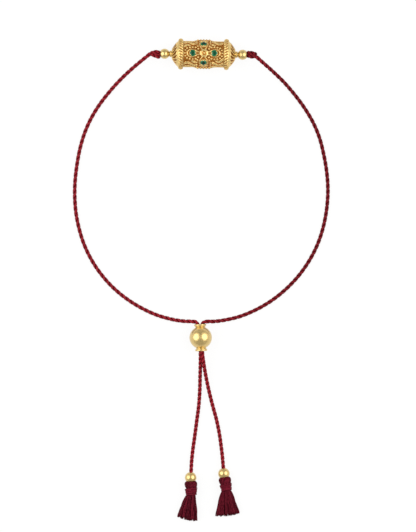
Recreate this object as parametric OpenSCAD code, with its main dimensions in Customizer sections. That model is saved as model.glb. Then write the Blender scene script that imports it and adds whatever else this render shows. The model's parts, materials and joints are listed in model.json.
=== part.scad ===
// Red cord bracelet with a gold barrel, closed by a sliding bead, with two tassels.
// It lies flat on a surface at z = 0, its loop round the origin and the barrel towards +Y.

/* [Cord] */
// Diameter of the twisted cord
cord_d = 1.1; // [1:0.02:1.12]

/* [Barrel] */
// Diameter of the tube between the rims
tube_d = 8; // [7.8:0.1:8.2]
// Height of the belly in the middle of the tube
belly_h = 0.3; // [0.2:0.05:0.35]
// Diameter of the rims, on which the barrel lies
rim_d = 9.75; // [9.7:0.05:9.9]
// Distance between the middles of the rims
rim_gap = 14.2; // [14:0.1:14.4]
// Length of each dome, from the middle of its rim
dome_l = 2.75; // [2.6:0.05:2.8]
// Diameter of the ferrule at the end of each dome
ferrule_d = 1.8; // [1.7:0.05:1.9]
// Outer face of the ferrules, from the middle of the barrel
ferrule_x = 10.58; // [10.4:0.02:10.6]
// Thickness of the barrel's wall
wall_t = 0.7; // [0.6:0.05:0.8]
// Diameter of the hole for the cord
hole_d = 1.3; // [1.25:0.05:1.4]

/* [Barrel ornament] */
// Diameter of the green stones
stone_d = 1.8; // [1.7:0.05:1.85]
// Distance of the side stones from the rosette
side_stone_x = 3.34; // [3.2:0.02:3.4]
// Distance of the upper and lower stones from the rosette, along the curve
top_stone_v = 3.05; // [3:0.05:3.2]
// Diameter of the wires
wire_d = 0.34; // [0.3:0.02:0.36]
// Diameter of the grains
grain_d = 0.48; // [0.4:0.02:0.5]
// Diameter of the rosette
rosette_d = 2.6; // [2.5:0.05:2.7]

/* [Beads] */
// Diameter of the beads beside the barrel
bead_d = 3.2; // [3.1:0.05:3.25]
// Distance of these beads from the middle of the barrel
bead_x = 12.1; // [12.1:0.05:12.2]
// Diameter of the beads above the tassels
tail_bead_d = 3.6; // [3.5:0.05:3.6]

/* [Slide] */
// Diameter of the sliding bead
slide_d = 7; // [6.8:0.1:7.1]
// Length of the sliding bead with its collars
slide_l = 8.4; // [8.3:0.05:8.5]
// Diameter of the collars' lips
lip_d = 3.7; // [3.6:0.05:3.8]
// Diameter of the hole that takes both cords
slide_hole_d = 2.5; // [2.45:0.05:2.55]

/* [Tassels] */
// Diameter of the rolled top
head_d = 3.6; // [3.4:0.05:3.6]
// Length of the rolled top
head_l = 2.2; // [2:0.1:2.4]
// Diameter of the wound band
band_d = 3.2; // [3:0.05:3.3]
// Length of the wound band
band_l = 2; // [1.8:0.1:2.2]
// Length of the loose threads
skirt_l = 7.8; // [7.5:0.1:8.2]
// Locks round each tassel
locks = 12; // [10:1:14]

/* [Hidden] */

// Colours of the gold, the stones, the cord and the tassels
gold = "#D9B25A";
green = "#1E7A4E";
red = "#8E1B2C";
maroon = "#5E1020";

// Gap between pieces that touch on the real bracelet
gap = 0.05;

// The barrel's middle, its turn on the surface and its roll about its own axis
barrel_at = [0.7, 41.8, rim_d / 2];
barrel_turn = -0.7;
barrel_roll = -4;

tube_r = tube_d / 2;
rim_r = rim_d / 2;
rim_x = rim_gap / 2;
rim_round = 0.5;
flange_h = 0.3;
flange_l = 0.9;
dome_end_r = 1.55;
belly_flat = 1.8;
belly_end = 3.4;
cavity_x = rim_x - 0.4;
facet_turn = 4.3;

// Radius at which distances along the curve of the barrel are measured
curve_r = tube_r + belly_h;

// Places of the pieces along the cord
slide_at = [-0.2, -46.1, slide_d / 2];
slide_turn = 2.4;
tail_bead_r = tail_bead_d / 2;
left_tail_at = [-3.3, -89.6, tail_bead_r];
left_tail_turn = -3.5;
right_tail_at = [7, -88.35, tail_bead_r];
right_tail_turn = 5;
cord_to_bead = 2.4;
cord_past_bead = 1.7;

// Turn of each tassel, and how far its foot reaches to the left and the right of its middle
left_tassel_turn = 2;
left_reach = [-4.4, 1.9];
right_tassel_turn = 9;
right_reach = [-4.7, 2.8];

// Way that a tassel points, for its turn from the -Y axis
function way(turn) = [sin(turn), -cos(turn), 0];

// Routes of the cord from each knot round the loop, through the slide and down to its tassel
left_route = concat([
    [-15.7, 42.1, 4.8],
    [-17.6, 40.6, 4.3],
    [-21, 37.8, 3],
    [-24.8, 34.3, 1.5],
    [-28.3, 30.5, 0.7],
    [-31.5, 26.4, 0.6],
    [-34.1, 22.2, 0.6],
    [-36.1, 17.8, 0.6],
    [-37.6, 12.9, 0.6],
    [-38.6, 7.7, 0.6],
    [-39.2, 2.5, 0.6],
    [-39.3, -2.6, 0.6],
    [-38.9, -7.6, 0.6],
    [-37.9, -12.5, 0.6],
    [-36.4, -17.2, 0.6],
    [-34.2, -21.8, 0.6],
    [-31.3, -26.2, 0.6],
    [-27.8, -30.2, 0.6],
    [-23.7, -33.7, 0.6],
    [-19, -36.7, 0.7],
    [-14, -38.9, 1],
    [-9.2, -40.1, 1.7],
    [-5.4, -40.7, 2.7],
    [-2.8, -40.9, 3.4],
    [-1.5, -41.4, 3.5],
    [-1, -42.7, 3.5],
    [-0.7, -46.1, 3.2],
    [-0.3, -50.4, 3],
    [-0.3, -54.5, 2.2],
    [-0.4, -58.6, 1.3],
    [-0.5, -62.8, 0.7],
    [-0.8, -67.2, 0.6],
    [-1.4, -71.8, 0.6],
    [-2, -76.4, 0.6],
    [-2.6, -80.7, 0.7],
    [-3, -84.4, 1.2]
], tail_end(left_tail_at, left_tail_turn));

right_route = concat([
    [17, 41.1, 4.8],
    [18.8, 39.5, 4.3],
    [22.3, 36.4, 2.8],
    [26, 32.8, 1.3],
    [29.4, 28.8, 0.7],
    [32.3, 24.8, 0.6],
    [34.8, 20.5, 0.6],
    [36.7, 15.9, 0.6],
    [38, 10.8, 0.6],
    [38.9, 5.6, 0.6],
    [39.3, 0.4, 0.6],
    [39.1, -4.6, 0.6],
    [38.4, -9.4, 0.6],
    [37.2, -14.1, 0.6],
    [35.4, -18.7, 0.6],
    [32.9, -23.2, 0.6],
    [29.8, -27.4, 0.6],
    [26, -31.3, 0.6],
    [21.6, -34.6, 0.6],
    [16.8, -37.3, 0.7],
    [11.7, -39.3, 1.1],
    [7, -40.4, 1.9],
    [3.8, -40.8, 2.9],
    [2, -40.9, 3.4],
    [0.7, -41.4, 3.5],
    [0.2, -42.7, 3.5],
    [0.3, -46.1, 3.8],
    [0.3, -50.4, 4],
    [0.8, -54.5, 3],
    [1.5, -58.6, 1.8],
    [2.4, -62.8, 0.9],
    [3.5, -67.2, 0.6],
    [4.7, -71.6, 0.6],
    [5.6, -76, 0.6],
    [6.2, -80.2, 0.7],
    [6.6, -83.6, 1.2]
], tail_end(right_tail_at, right_tail_turn));

// Last two points of a cord, through the bead above its tassel
function tail_end(at, turn) = [at - cord_to_bead * way(turn), at + cord_past_bead * way(turn)];

function unit(v) = v / norm(v);

// Direction of a path at its point i
function heading(path, i, closed) =
    let (n = len(path))
    closed
        ? unit(path[(i + 1) % n] - path[(i + n - 1) % n])
        : unit(path[min(i + 1, n - 1)] - path[max(i - 1, 0)]);

// Solid wire along a path. ups gives a direction square to the wire at each point.
module wire(path, ups, r, sides, closed = false) {
    n = len(path);
    rings = closed ? n : n - 1;
    points = [
        for (i = [0:n - 1])
            let (
                t = heading(path, i, closed),
                s = unit(cross(t, ups[i])),
                w = cross(s, t)
            )
            for (k = [0:sides - 1])
                path[i] + r * (cos(360 * k / sides) * s + sin(360 * k / sides) * w)
    ];
    quads = [
        for (i = [0:rings - 1])
            for (k = [0:sides - 1])
                let (a = i * sides, b = ((i + 1) % n) * sides, m = (k + 1) % sides)
                [a + k, a + m, b + m, b + k]
    ];
    walls = [
        for (q = quads)
            for (f = [[q[0], q[1], q[2]], [q[0], q[2], q[3]]])
                f
    ];
    ends = closed ? [] : [
        [for (k = [sides - 1:-1:0]) k],
        [for (k = [0:sides - 1]) (n - 1) * sides + k]
    ];
    polyhedron(points = points, faces = concat(walls, ends), convexity = 10);
}

// The cord as a plain round tube
module cord(route) {
    color(red)
        wire(route, [for (p = route) [0, 0, 1]], cord_d / 2, 8);
}

// Places children on the barrel's axis
module on_barrel_axis() {
    translate(barrel_at)
        rotate([0, 0, barrel_turn])
            children();
}

// Radius of the barrel's ground at a distance x from its middle
function ground_r(x) =
    tube_r + belly_h * max(0, min(1, (belly_end - abs(x)) / (belly_end - belly_flat)));

function curve_angle(v) = v / curve_r * 180 / PI;

// Point on the barrel: x along it, v round its curve from the front, h above the ground
function on_ground(x, v, h) =
    let (r = ground_r(x) + h, a = curve_angle(v))
    [x, r * sin(a), r * cos(a)];

// Places children on the ground at x and v, with +Z outwards
module at_ground(x, v) {
    rotate([-curve_angle(v), 0, 0])
        translate([x, 0, ground_r(x)])
            children();
}

// Wire laid on the barrel through points [x, v]
module ground_wire(points, d, closed = false) {
    path = [for (p = points) on_ground(p[0], p[1], d * 0.25)];
    wire(path, [for (p = path) unit([0, p[1], p[2]])], d / 2, 4, closed);
}

module grain(x, v) {
    at_ground(x, v)
        translate([0, 0, -0.1])
            cylinder(h = grain_d * 0.75 + 0.1, d1 = grain_d * 1.15, d2 = grain_d * 0.5, $fn = 6);
}

// Half of the barrel's outline, as [x, r] from its middle to its ferrule
function half_outline() = concat(
    [[belly_flat, tube_r + belly_h], [belly_end, tube_r]],
    [[rim_x - flange_l, tube_r], [rim_x - flange_l, tube_r + flange_h], [rim_x - rim_round, tube_r + flange_h]],
    [for (a = [150:-40:30]) [rim_x + rim_round * cos(a), rim_r - rim_round + rim_round * sin(a)]],
    [for (k = [0, 0.4, 0.75, 1]) dome_point(k)],
    [[rim_x + dome_l, ferrule_d / 2], [ferrule_x, ferrule_d / 2]]
);

// Point of the dome, from its rim at k = 0 to its end at k = 1, a little rounded
function dome_point(k) = [
    rim_x + rim_round + (dome_l - rim_round) * k,
    (rim_r - 0.6) + (dome_end_r - rim_r + 0.6) * k + 0.3 * sin(180 * k)
];

module barrel_turned() {
    half = half_outline();
    outline = concat(
        [for (p = half) [p[1], p[0]]],
        [[hole_d / 2, ferrule_x], [hole_d / 2, -ferrule_x]],
        [for (i = [len(half) - 1:-1:0]) [half[i][1], -half[i][0]]]
    );
    rotate([0, 90, 0])
        rotate([0, 0, facet_turn])
            rotate_extrude($fn = 30)
                polygon(outline);
}

// Leaf-shaped hollows in one dome
module dome_leaves() {
    leaves = 8;
    for (i = [0:leaves - 1])
        rotate([360 * i / leaves, 0, 0])
            translate([rim_x + 1.75, 0, 3.05])
                rotate([0, 50, 0])
                    rotate([0, 0, 24])
                        scale([0.95, 0.32, 0.34])
                            sphere(r = 1, $fn = 5);
}

// Outline of a petal whose tip points at the rosette: a round end and two straight sides
function petal(tip, centre, r) =
    let (open = acos(r / (centre - tip)), first = 180 - open, steps = 6)
    concat(
        [[tip, 0]],
        [for (i = [0:steps]) let (a = first - 2 * first * i / steps) [centre + r * cos(a), r * sin(a)]]
    );

// Turns points [x, v] of the ornament about the rosette
function turned(points, angle) =
    [for (p = points) [p[0] * cos(angle) - p[1] * sin(angle), p[0] * sin(angle) + p[1] * cos(angle)]];

function arc(centre, r, from, to, steps) =
    [for (i = [0:steps]) let (a = from + (to - from) * i / steps) [centre + r * cos(a), r * sin(a)]];

// Collar that holds a stone
module seat(x, v) {
    at_ground(x, v)
        translate([0, 0, -0.3])
            cylinder(h = 0.66, r1 = stone_d / 2 + 0.34, r2 = stone_d / 2 + 0.18, $fn = 12);
}

module seat_hole(x, v) {
    at_ground(x, v)
        translate([0, 0, -2])
            cylinder(h = 3, d = stone_d + gap, $fn = 12);
}

module rosette() {
    leaves = 8;
    cup_r = 0.78;
    at_ground(0, 0) {
        difference() {
            translate([0, 0, -0.3])
                cylinder(h = 0.75, r1 = cup_r + 0.1, r2 = cup_r, $fn = 12);
            translate([0, 0, 0.28])
                cylinder(h = 1, r = cup_r - 0.18, $fn = 12);
        }
        translate([0, 0, 0.1])
            sphere(r = 0.4, $fn = 8);
        for (i = [0:leaves - 1])
            rotate([0, 0, 360 * (i + 0.5) / leaves])
                hull() {
                    translate([cup_r, 0, -0.1])
                        cylinder(h = 0.35, r1 = 0.2, r2 = 0.1, $fn = 4);
                    translate([rosette_d / 2 - 0.26, 0, -0.1])
                        cylinder(h = 0.35, r1 = 0.28, r2 = 0.14, $fn = 6);
                }
    }
}

// The ornament of one side of the barrel: a rosette with four petals
module ornament() {
    side_petal = petal(1.35, side_stone_x + 0.1, 1.5);
    top_petal = petal(1.25, top_stone_v - 0.05, 1.35);
    rosette();
    for (s = [0, 180]) {
        ground_wire(turned(side_petal, s), wire_d, true);
        ground_wire(turned(arc(side_stone_x + 0.05, 1.98, -118, 118, 7), s), wire_d * 0.8);
        for (p = turned(arc(side_stone_x + 0.05, 2.42, -126, 126, 12), s))
            grain(p[0], p[1]);
        ground_wire(turned(top_petal, s + 90), wire_d, true);
        for (p = turned(arc(top_stone_v, 1.9, -40, 40, 2), s + 90))
            grain(p[0], p[1]);
        seat(side_stone_x * cos(s), 0);
        seat(0, top_stone_v * cos(s));
    }
    for (sx = [-1, 1]) {
        for (sv = [-1, 1]) {
            ground_wire([for (v = [2:1.75:5.5]) [sx * 1.85, sv * v]], wire_d * 0.9);
            for (v = [3.3, 4.4])
                ground_wire([for (i = [0:4]) [sx * (2 + 1.1 * i), sv * (v + 0.3 * cos(120 * i))]], wire_d);
        }
    }
}

// Two wires along the barrel, where the ornaments of the front and the back meet
module side_row(sv) {
    v = curve_r * PI / 2;
    end_x = rim_x - flange_l + 0.2;
    for (dv = [-0.4, 0.4])
        ground_wire([for (x = [-end_x, -belly_end, -belly_flat, belly_flat, belly_end, end_x]) [x, sv * v + dv]], wire_d);
}

// Barrel with its relief, hollow, drilled from end to end: one soldered piece
module barrel() {
    color(gold)
        on_barrel_axis()
            rotate([barrel_roll, 0, 0])
                difference() {
                    union() {
                        barrel_turned();
                        ornament();
                        rotate([180, 0, 0]) ornament();
                        side_row(1);
                        side_row(-1);
                    }
                    rotate([0, 90, 0])
                        cylinder(h = 2 * cavity_x, r = tube_r - wall_t, center = true, $fn = 32);
                    rotate([0, 90, 0])
                        cylinder(h = 3 * rim_gap, d = hole_d, center = true, $fn = 16);
                    for (s = [0, 180])
                        rotate([s, 0, 0])
                            for (k = [-1, 1]) {
                                seat_hole(k * side_stone_x, 0);
                                seat_hole(0, k * top_stone_v);
                            }
                    dome_leaves();
                    mirror([1, 0, 0]) dome_leaves();
                }
}

// Round cut stone with a table, eight crown facets and a pointed back
module stone(side, x, v) {
    girdle = 0.24;
    color(green)
        on_barrel_axis()
            rotate([barrel_roll + side, 0, 0])
                at_ground(x, v) {
                    translate([0, 0, girdle])
                        cylinder(h = 0.26, d1 = stone_d - gap, d2 = stone_d * 0.6, $fn = 8);
                    translate([0, 0, girdle - 0.1])
                        cylinder(h = 0.1, d = stone_d - gap, $fn = 8);
                    translate([0, 0, girdle - 0.6])
                        cylinder(h = 0.5, d1 = stone_d * 0.2, d2 = stone_d - gap, $fn = 8);
                }
}

// Drilled ball on its own Z axis
module drilled_ball(d, hole) {
    difference() {
        sphere(d = d, $fn = 64);
        cylinder(h = 2 * d, d = hole, center = true, $fn = 32);
    }
}

module bead(side) {
    color(gold)
        on_barrel_axis()
            translate([side * bead_x, 0, 0])
                rotate([0, 90, 0])
                    drilled_ball(bead_d, hole_d);
}

// Half length of the cord inside the barrel and its beads
function inner_half() = bead_x + sqrt(pow(bead_d / 2, 2) - pow(hole_d / 2, 2)) - gap;

module cord_inner() {
    color(red)
        on_barrel_axis()
            rotate([0, 90, 0])
                cylinder(h = 2 * inner_half(), d = cord_d, center = true, $fn = 24);
}

// Turns +Z to the direction v
module aim(v) {
    rotate([0, acos(v[2] / norm(v)), atan2(v[1], v[0])])
        children();
}

// Knot on the side of the barrel: balls [along the axis, across it, up, radius]
module knot(side, route, balls) {
    out = unit(route[1] - route[0]);
    color(maroon)
        hull() {
            on_barrel_axis()
                translate([side * (inner_half() + gap), 0, 0])
                    for (b = balls)
                        translate([side * (b[0] + b[3]), b[1], b[2]])
                            sphere(r = b[3], $fn = 12);
            translate(route[0] - (gap + 0.1) * out)
                aim(out)
                    cylinder(h = 0.1, d = cord_d * 0.9, $fn = 12);
        }
}

module knot_left() {
    knot(-1, left_route, [[0.02, -0.35, 0, 0.95], [0.05, 0.25, 0.15, 0.9], [0.6, 0.3, -0.1, 0.75]]);
}

module knot_right() {
    knot(1, right_route, [[0.02, 0.1, 0, 1.1], [0.05, -0.2, 0.15, 1.0], [0.55, -0.05, -0.15, 0.95]]);
}

// Flared collar at one end of the sliding bead
module collar() {
    neck_r = 1.55;
    rotate_extrude($fn = 64)
        polygon([
            [slide_hole_d / 2 - 0.2, 2.4],
            [neck_r, 2.4],
            [neck_r, slide_l / 2 - 0.75],
            [lip_d / 2 - 0.08, slide_l / 2 - 0.35],
            [lip_d / 2, slide_l / 2 - 0.15],
            [lip_d / 2 - 0.04, slide_l / 2],
            [slide_hole_d / 2 - 0.2, slide_l / 2]
        ]);
}

// Widening of the sliding bead's hole inside one collar
module mouth() {
    deep = 1.2;
    translate([0, 0, slide_l / 2 - deep])
        cylinder(h = deep + gap, d1 = slide_hole_d - 0.1, d2 = lip_d - 0.3, $fn = 32);
}

module slide_bead() {
    color(gold)
        translate(slide_at)
            rotate([90, 0, slide_turn])
                difference() {
                    union() {
                        sphere(d = slide_d, $fn = 64);
                        collar();
                        mirror([0, 0, 1]) collar();
                    }
                    cylinder(h = 2 * slide_l, d = slide_hole_d, center = true, $fn = 32);
                    mouth();
                    mirror([0, 0, 1]) mouth();
                }
}

module tail_bead(at, turn) {
    color(gold)
        translate(at)
            rotate([90, 0, turn])
                drilled_ball(tail_bead_d, hole_d);
}

// Lock of threads: start and end are [across, along, up], with a fuller middle
module lock(start, end, r) {
    middle = (start + end) / 2 + [0, 0, 0.1];
    hull() {
        translate(start) sphere(r = r * 0.9, $fn = 6);
        translate(middle) sphere(r = r * 1.05, $fn = 6);
    }
    hull() {
        translate(middle) sphere(r = r * 1.05, $fn = 6);
        translate(end) rotate([90, 0, 0]) cylinder(h = 0.3, r = r, center = true, $fn = 6);
    }
}

// Tassel that lies on the surface, with the middle of its bead at the origin and its threads
// towards -Y. The foot of its skirt runs from the first of reach to the second, across.
module tassel(at, turn, reach) {
    top = -1.15;
    neck = top - head_l - band_l;
    lock_r = 0.55;
    foot_up = 1.15;
    foot_mid = (reach[0] + reach[1]) / 2;
    foot_half = (reach[1] - reach[0]) / 2 - lock_r;
    foot_drop = foot_up + lock_r + 0.05 - tail_bead_r;
    color(maroon)
        translate(at)
            rotate([0, 0, turn])
                difference() {
                    union() {
                        translate([0, top, 0])
                            rotate([90, 0, 0])
                                rotate_extrude($fn = 24)
                                    polygon([
                                        [0, 0], [head_d / 2 - 0.45, 0], [head_d / 2 - 0.1, 0.3],
                                        [head_d / 2, head_l / 2], [head_d / 2 - 0.1, head_l - 0.3],
                                        [band_d / 2 - 0.15, head_l], [band_d / 2, head_l + 0.35],
                                        [band_d / 2, head_l + band_l - 0.35],
                                        [band_d / 2 - 0.2, head_l + band_l], [0, head_l + band_l]
                                    ]);
                        hull() {
                            translate([0, neck + 0.1, 0])
                                rotate([90, 0, 0])
                                    cylinder(h = 0.2, d = band_d - 0.6, $fn = 16);
                            translate([foot_mid, neck - skirt_l + 0.9, foot_drop])
                                rotate([90, 0, 0])
                                    scale([foot_half, foot_up - 0.1, 1])
                                        cylinder(h = 0.2, r = 1, $fn = 16);
                        }
                        for (i = [0:locks - 1]) {
                            a = 360 * (i + 0.5) / locks;
                            ragged = 0.4 * ((i * 5) % 4) / 3;
                            lock(
                                [(band_d / 2 - 0.65) * cos(a), neck + 0.2, (band_d / 2 - 0.65) * sin(a)],
                                [foot_mid + foot_half * cos(a), neck - skirt_l + 0.15 + ragged, foot_drop + foot_up * sin(a)],
                                lock_r
                            );
                        }
                    }
                    sphere(r = tail_bead_r + gap, $fn = 24);
                }
}

barrel();
stone(0, -side_stone_x, 0);  // stone_front_left
stone(0, side_stone_x, 0);  // stone_front_right
stone(0, 0, top_stone_v);  // stone_front_top
stone(0, 0, -top_stone_v);  // stone_front_bottom
stone(180, -side_stone_x, 0);  // stone_back_left
stone(180, side_stone_x, 0);  // stone_back_right
stone(180, 0, -top_stone_v);  // stone_back_top
stone(180, 0, top_stone_v);  // stone_back_bottom
bead(-1);  // bead_left
bead(1);  // bead_right
cord_inner();
knot_left();
knot_right();
cord(left_route);  // cord_left
cord(right_route);  // cord_right
slide_bead();
tail_bead(left_tail_at, left_tail_turn);  // tail_bead_left
tail_bead(right_tail_at, right_tail_turn);  // tail_bead_right
tassel(left_tail_at, left_tassel_turn, left_reach);  // tassel_left
tassel(right_tail_at, right_tassel_turn, right_reach);  // tassel_right
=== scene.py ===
"""Red cord bracelet: the looks of its gold barrel, stones, beads, cords, knots and tassels."""

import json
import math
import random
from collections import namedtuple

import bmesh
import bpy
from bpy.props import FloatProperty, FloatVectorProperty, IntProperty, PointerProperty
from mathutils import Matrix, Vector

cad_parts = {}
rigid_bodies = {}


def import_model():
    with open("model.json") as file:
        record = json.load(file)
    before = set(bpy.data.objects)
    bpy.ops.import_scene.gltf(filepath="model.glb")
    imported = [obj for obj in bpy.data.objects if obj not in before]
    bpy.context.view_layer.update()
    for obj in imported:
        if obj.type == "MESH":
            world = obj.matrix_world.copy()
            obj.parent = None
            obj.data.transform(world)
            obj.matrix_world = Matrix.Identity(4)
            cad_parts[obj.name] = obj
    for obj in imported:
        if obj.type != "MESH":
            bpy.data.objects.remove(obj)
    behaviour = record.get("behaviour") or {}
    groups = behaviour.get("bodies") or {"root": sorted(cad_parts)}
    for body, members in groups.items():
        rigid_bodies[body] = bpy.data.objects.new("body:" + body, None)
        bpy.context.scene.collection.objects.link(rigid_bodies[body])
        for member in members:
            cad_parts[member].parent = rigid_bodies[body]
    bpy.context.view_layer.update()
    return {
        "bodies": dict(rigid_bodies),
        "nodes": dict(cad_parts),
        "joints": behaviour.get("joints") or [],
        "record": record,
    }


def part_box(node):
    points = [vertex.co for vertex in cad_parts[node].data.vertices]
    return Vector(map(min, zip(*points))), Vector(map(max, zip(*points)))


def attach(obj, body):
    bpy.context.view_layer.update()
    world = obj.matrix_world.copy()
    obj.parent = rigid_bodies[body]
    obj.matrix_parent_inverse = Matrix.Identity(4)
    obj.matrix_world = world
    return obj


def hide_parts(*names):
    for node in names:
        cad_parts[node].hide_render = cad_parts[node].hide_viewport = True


bl_info = {
    "name": "Red cord bracelet",
    "version": (1, 0, 0),
    "blender": (4, 5, 0),
    "location": "3D View > Sidebar > Bracelet",
    "description": "Dresses a cord bracelet: gold barrel, green stones, beads, twisted cords and tassels",
    "category": "Object",
}

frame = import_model()


# Measures and places

def mm(length):
    """A length in metres, from millimetres."""
    return length * 0.001


def in_metres(pairs):
    """Pairs of lengths in metres, from millimetres."""
    return [(mm(a), mm(b)) for a, b in pairs]


def clamp(value):
    """The value, held between 0 and 1."""
    return min(1, max(0, value))


def eased(share):
    """A share from 0 to 1 that starts and ends gently."""
    return share * share * (3 - 2 * share)


def node_middle(node):
    """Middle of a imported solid."""
    low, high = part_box(node)
    return (low + high) / 2


def node_size(node):
    """Width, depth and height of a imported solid."""
    low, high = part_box(node)
    return high - low


def at_node(node, turn):
    """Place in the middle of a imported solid, turned on the surface."""
    return Matrix.Translation(node_middle(node)) @ Matrix.Rotation(turn, 4, "Z")


def hex_colour(code):
    """Linear colour of an sRGB hex value."""
    parts = [int(code[i:i + 2], 16) / 255 for i in (1, 3, 5)]
    return [p / 12.92 if p <= 0.04045 else ((p + 0.055) / 1.055) ** 2.4 for p in parts]


def shaded(colour, share):
    """A colour at a share of its brightness."""
    return [c * share for c in colour]


# Turns that lay a part made round the Z axis along X or Y, and that take ornament to the barrel's back
ALONG_X = Matrix.Rotation(math.pi / 2, 4, "Y")
ALONG_Y = Matrix.Rotation(math.pi / 2, 4, "X")
BEHIND = Matrix.Rotation(math.pi, 4, "X")

# How the barrel lies: turned on the surface, and rolled about its own axis
BARREL_TURN = math.radians(-0.7)
BARREL_ROLL = math.radians(-4)
BARREL_PLACE = at_node("barrel", BARREL_TURN) @ Matrix.Rotation(BARREL_ROLL, 4, "X")

# Routes of the two cords, from each knot round the loop and through the sliding bead
LEFT_ROUTE = [
    (-0.0157, 0.0421, 0.0048), (-0.0176, 0.0406, 0.0043), (-0.0210, 0.0378, 0.0030),
    (-0.0248, 0.0343, 0.0015), (-0.0283, 0.0305, 0.0007), (-0.0315, 0.0264, 0.0006),
    (-0.0341, 0.0222, 0.0006), (-0.0361, 0.0178, 0.0006), (-0.0376, 0.0129, 0.0006),
    (-0.0386, 0.0077, 0.0006), (-0.0392, 0.0025, 0.0006), (-0.0393, -0.0026, 0.0006),
    (-0.0389, -0.0076, 0.0006), (-0.0379, -0.0125, 0.0006), (-0.0364, -0.0172, 0.0006),
    (-0.0342, -0.0218, 0.0006), (-0.0313, -0.0262, 0.0006), (-0.0278, -0.0302, 0.0006),
    (-0.0237, -0.0337, 0.0006), (-0.0190, -0.0367, 0.0007), (-0.0141, -0.0390, 0.0010),
    (-0.0093, -0.0404, 0.0017), (-0.0055, -0.0410, 0.0027), (-0.0029, -0.0411, 0.0034),
    (-0.0015, -0.0414, 0.0035), (-0.0010, -0.0427, 0.0035), (-0.0007, -0.0461, 0.0032),
    (-0.0003, -0.0504, 0.0030), (-0.0003, -0.0545, 0.0022), (-0.0004, -0.0586, 0.0013),
    (-0.0005, -0.0628, 0.0007), (-0.0008, -0.0672, 0.0006), (-0.0014, -0.0718, 0.0006),
    (-0.0020, -0.0764, 0.0006), (-0.0026, -0.0807, 0.0007), (-0.0030, -0.0844, 0.0012),
]
RIGHT_ROUTE = [
    (0.0170, 0.0411, 0.0048), (0.0188, 0.0395, 0.0043), (0.0223, 0.0364, 0.0028),
    (0.0260, 0.0328, 0.0013), (0.0294, 0.0288, 0.0007), (0.0323, 0.0248, 0.0006),
    (0.0348, 0.0205, 0.0006), (0.0367, 0.0159, 0.0006), (0.0380, 0.0108, 0.0006),
    (0.0389, 0.0056, 0.0006), (0.0393, 0.0004, 0.0006), (0.0391, -0.0046, 0.0006),
    (0.0384, -0.0094, 0.0006), (0.0372, -0.0141, 0.0006), (0.0354, -0.0187, 0.0006),
    (0.0329, -0.0232, 0.0006), (0.0298, -0.0274, 0.0006), (0.0260, -0.0313, 0.0006),
    (0.0217, -0.0347, 0.0006), (0.0169, -0.0375, 0.0007), (0.0118, -0.0396, 0.0011),
    (0.0071, -0.0407, 0.0019), (0.0039, -0.0411, 0.0029), (0.0021, -0.0411, 0.0034),
    (0.0007, -0.0414, 0.0035), (0.0002, -0.0427, 0.0035), (0.0003, -0.0461, 0.0038),
    (0.0003, -0.0504, 0.0040), (0.0008, -0.0545, 0.0030), (0.0015, -0.0586, 0.0018),
    (0.0024, -0.0628, 0.0009), (0.0035, -0.0672, 0.0006), (0.0047, -0.0716, 0.0006),
    (0.0056, -0.0760, 0.0006), (0.0062, -0.0802, 0.0007), (0.0066, -0.0836, 0.0012),
]

# Each side: its cord's route, the turns of its tail bead and tassel from the -Y axis in degrees, the reach
# of the tassel's foot to the left and right in millimetres, the slope of that foot, what the painted shade of
# the loop leaves of the tail's brightness, how much wider the knot is towards its bead, and its brightness
Side = namedtuple(
    "Side", "name route bead_turn tassel_turn foot_reach foot_slope loop_tone knot_flare knot_tone")
SIDES = (
    Side("left", LEFT_ROUTE, bead_turn=-3.5, tassel_turn=2, foot_reach=(-4.8, 2.0), foot_slope=0.25,
         loop_tone=0.85, knot_flare=0.5, knot_tone=1.35),
    Side("right", RIGHT_ROUTE, bead_turn=5, tassel_turn=9, foot_reach=(-4.95, 3.35), foot_slope=0.05,
         loop_tone=0.58, knot_flare=-0.15, knot_tone=0.95),
)
CORD_TO_BEAD = mm(2.4)
CORD_PAST_BEAD = mm(1.7)


# Settings

def length_setting(name, description, millimetres):
    """A length that a user would change."""
    return FloatProperty(name=name, description=description, default=mm(millimetres), unit="LENGTH")


def colour_setting(name, description, code):
    """A colour that a user would change, from its sRGB hex value."""
    return FloatVectorProperty(
        name=name, description=description, default=hex_colour(code), subtype="COLOR")


class StageSettings(bpy.types.PropertyGroup):
    """Camera, light and floor."""
    view_centre: FloatVectorProperty(
        name="View centre", description="Point of the floor in the middle of the picture", size=2,
        default=(mm(2.07), mm(-23.88)), unit="LENGTH")
    view_height: length_setting("View height", "Length on the floor that the picture's height covers", 165.25)
    camera_distance: length_setting("Camera distance", "Height of the camera above the floor", 3500)
    key_power: FloatProperty(
        name="Softbox power", description="Power of each of the two softboxes", default=3.0, unit="POWER")
    panel_colour: colour_setting("Panel", "Colour of the floor", "#565655")
    panel_glow: FloatProperty(
        name="Glow", description="Strength of the light from within the floor", default=0.9)


class GoldSettings(bpy.types.PropertyGroup):
    """Colours and finish of the gold."""
    bright: colour_setting("Gold", "Colour of polished gold", "#E4C680")
    # The recess colour is the matt, browner ground between the wires, darkened with painted shade
    recess: colour_setting("Recess", "Colour of the ground between the wires", "#C27E34")
    polish: FloatProperty(
        name="Polish", description="Roughness of the polished gold of the beads", default=0.31,
        subtype="FACTOR")
    satin: FloatProperty(
        name="Satin", description="Roughness of the satin gold of the barrel", default=0.34,
        subtype="FACTOR")


class BarrelSettings(bpy.types.PropertyGroup):
    """Sizes of the barrel and its ornament."""
    tube_diameter: length_setting("Tube", "Diameter of the ground between the rims", 7.6)
    belly_height: length_setting("Belly", "Height of the swelling in the middle", 0.35)
    wire_diameter: length_setting("Wire", "Width of the ornament's wires", 0.5)
    grain_diameter: length_setting("Grain", "Diameter of the grains", 0.73)
    flutes: IntProperty(name="Flutes", description="Leaf-shaped flutes round each dome", default=16)
    rope_strands: IntProperty(
        name="Rope strands", description="Slanting strands round each rim", default=32)


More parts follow.
